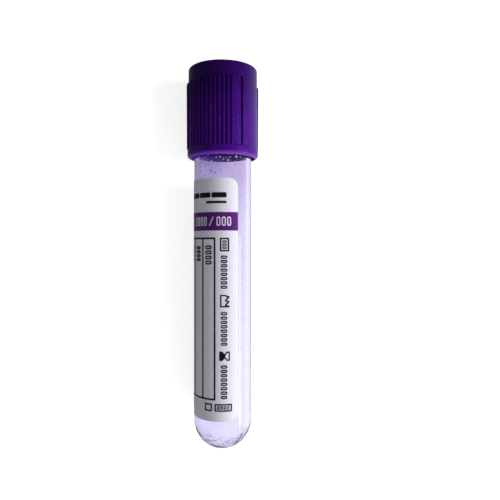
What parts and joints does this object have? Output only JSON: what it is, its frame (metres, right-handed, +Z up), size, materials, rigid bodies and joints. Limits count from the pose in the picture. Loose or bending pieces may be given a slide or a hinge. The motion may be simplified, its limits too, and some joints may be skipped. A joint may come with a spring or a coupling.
{
  "type": "blood collection tube",
  "caption": "Clear round-bottomed sample tube with a wrapped white label, purple ribbed pull-off cap, rubber stopper and dried additive droplets, lying on its side.",
  "frame": {"origin": "on the table under the middle of the lying tube's box", "axes": "+Y along the tube towards its cap, +Z up, +X to the right when seen from above with the cap away from the viewer; the tube's axis rises 1.5 degrees towards the cap"},
  "size_m": [0.0164, 0.0862, 0.0166],
  "materials": {
    "clear_plastic": "clear moulded PET, smooth",
    "cap_plastic": "deep purple moulded polypropylene, satin gloss",
    "stopper_rubber": "dark violet butyl rubber, matte",
    "label_paper": "smooth white label stock",
    "purple_ink": "printed purple",
    "black_ink": "printed black",
    "dried_additive": "clear glossy droplets"
  },
  "bodies": {
    "tube": {"tube": "clear_plastic", "label": "label_paper", "label_band": "purple_ink", "label_print": "black_ink", "additive_drops": "dried_additive"},
    "stopper": {"rubber_stopper": "stopper_rubber"},
    "cap": {"cap_shell": "cap_plastic"}
  },
  "joints": [
    {"name": "closure_pull", "type": "slide", "parent": "tube", "child": "stopper", "axis": [0, 0.9997, 0.0262], "range_m": [0, 0.025]},
    {"name": "cap_twist", "type": "hinge", "parent": "stopper", "child": "cap", "pos_m": [0, 0.03211, 0.0083], "axis": [0, 0.9997, 0.0262], "continuous": true}
  ]
}
